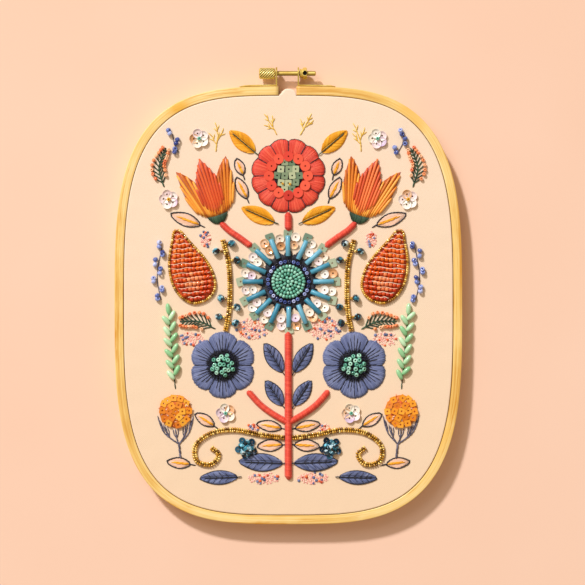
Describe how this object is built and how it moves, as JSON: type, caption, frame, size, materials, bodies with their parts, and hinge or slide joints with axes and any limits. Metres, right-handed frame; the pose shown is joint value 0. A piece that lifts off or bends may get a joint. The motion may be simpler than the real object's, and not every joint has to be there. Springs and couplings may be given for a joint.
{
  "type": "bead embroidery in a wooden hoop",
  "caption": "Cream cloth stretched in a rounded wooden hoop with a brass clamp, sewn with beads, sequins and satin stitch in a floral design.",
  "frame": {"origin": "on the surface it lies on, under the middle of its outline with the clamp counted", "axes": "+Z out of the face of the cloth, +Y from the middle of the hoop to its clamp screw, +X to the right as seen from the front"},
  "size_m": [0.1774, 0.2336, 0.0145],
  "materials": {
    "wood": "light varnished wood with fine grain",
    "linen": "plain-woven cream cotton, matt",
    "brass": "bright polished brass, knurled on the thumb screw",
    "mint": "opaque mint glass beads, glossy",
    "navy": "dark blue faceted glass beads, glossy",
    "sky_blue": "light blue glass bugle beads, glossy",
    "coral": "coral red satin thread over padding",
    "sage": "sage green sequins and beads, satin",
    "orange": "orange glass beads and sequins, satin",
    "green": "dark green thread, matt",
    "slate": "slate blue stranded cotton, soft sheen",
    "ochre": "ochre stranded cotton, soft sheen",
    "gold": "small metallic gold beads, glossy",
    "pearl": "iridescent pearl cup sequins"
  },
  "bodies": {
    "root": {"anemone_left": "slate", "anemone_right": "slate", "arm_left": "coral", "arm_right": "coral", "berries_left": "navy", "berries_right": "navy", "blossom_low_left": "pearl", "blossom_low_right": "pearl", "blossom_outer_left": "pearl", "blossom_outer_right": "pearl", "blossom_top_left": "pearl", "blossom_top_right": "pearl", "bracket_left": "brass", "bracket_right": "brass", "calyx_left": "green", "calyx_right": "green", "cloth": "linen", "daisy_centre": "mint", "daisy_collar": "navy", "daisy_petals": "sky_blue", "inner_ring": "wood", "leaf_crown_left": "ochre", "leaf_crown_right": "ochre", "leaf_foot_left": "slate", "leaf_foot_right": "slate", "leaf_hip_left": "slate", "leaf_hip_right": "slate", "leaf_root_left": "slate", "leaf_root_right": "slate", "leaf_shoulder_left": "ochre", "leaf_shoulder_right": "ochre", "leaf_waist_left": "slate", "leaf_waist_right": "slate", "marigold_left": "orange", "marigold_right": "orange", "neck_stem": "coral", "outer_ring": "wood", "paisley_left": "orange", "paisley_right": "orange", "rice_spike_left": "mint", "rice_spike_right": "mint", "scroll_left": "gold", "scroll_right": "gold", "trunk": "coral", "tuft_left": "mint", "tuft_right": "mint", "tulip_left": "orange", "tulip_right": "orange", "vine_left": "gold", "vine_right": "gold", "zinnia_centre": "sage", "zinnia_petals": "coral"},
    "screw": {"thumb_screw": "brass"},
    "nut": {"nut": "brass"}
  },
  "joints": [
    {"name": "nut_travel", "type": "slide", "parent": "root", "child": "nut", "axis": [1, 0, 0], "range_m": [0, 0.004]},
    {"name": "screw_turn", "type": "hinge", "parent": "root", "child": "screw", "pos_m": [0, 0.1136, 0.005], "axis": [-1, 0, 0], "range_deg": [0, 2880]}
  ],
  "couplings": [
    {"joint": "screw_turn", "follows": "nut_travel", "rad_per_m": 12566}
  ]
}
